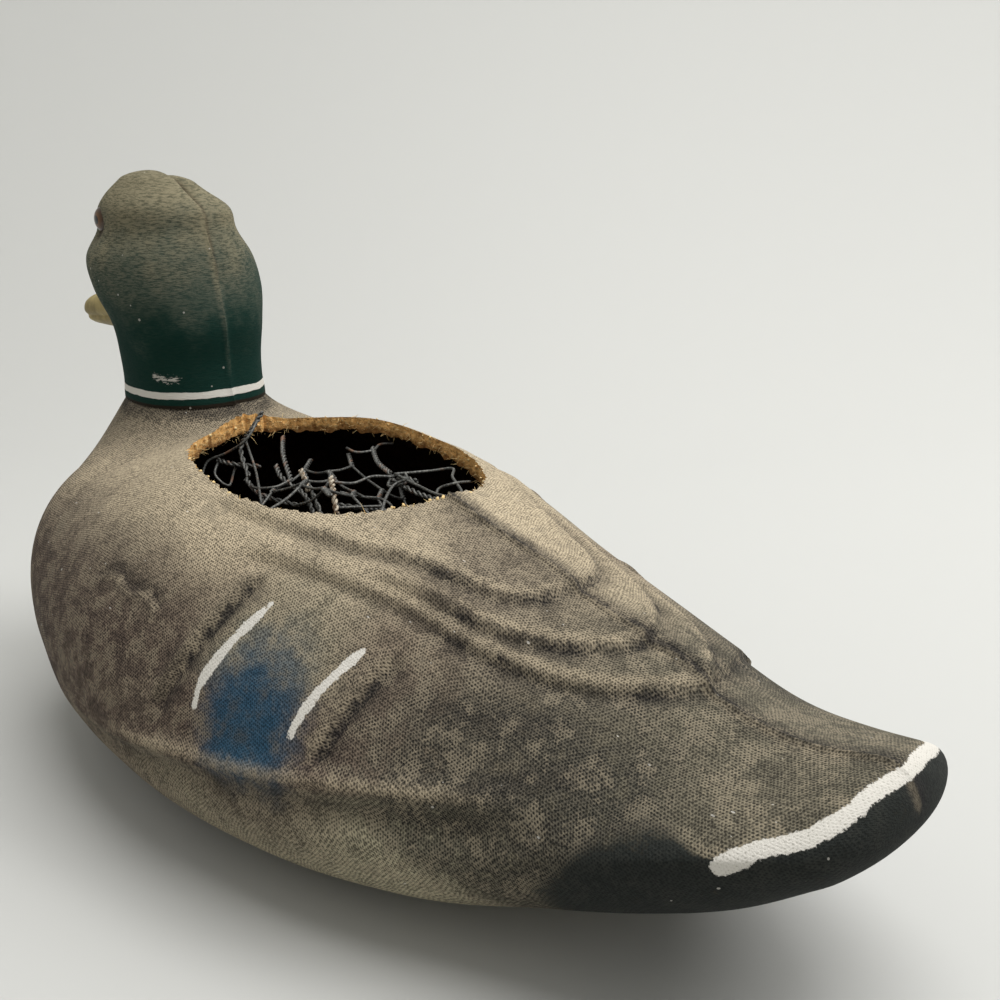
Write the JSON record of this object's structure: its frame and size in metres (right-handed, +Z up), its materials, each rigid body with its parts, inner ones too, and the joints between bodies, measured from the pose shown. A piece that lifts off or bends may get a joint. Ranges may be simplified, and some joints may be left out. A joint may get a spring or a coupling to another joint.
{
  "type": "duck decoy",
  "caption": "Moulded pulp mallard drake decoy, its back cut open as a flower holder, with bent wire netting inside.",
  "frame": {"origin": "centre of the box around the duck, on the surface that it stands on", "axes": "+X from tail to bill, +Y to the duck's left, +Z up"},
  "size_m": [0.385, 0.1848, 0.198],
  "materials": {
    "painted_pulp": "matt worn paint over moulded pulp with a screen pattern",
    "eye_glass": "glossy amber glass with a black pupil",
    "galvanised_wire": "dull weathered zinc with rust spots"
  },
  "bodies": {
    "root": {"moulded_shell": "painted_pulp", "eye_left": "eye_glass", "eye_right": "eye_glass", "wire_netting": "galvanised_wire"}
  },
  "joints": []
}
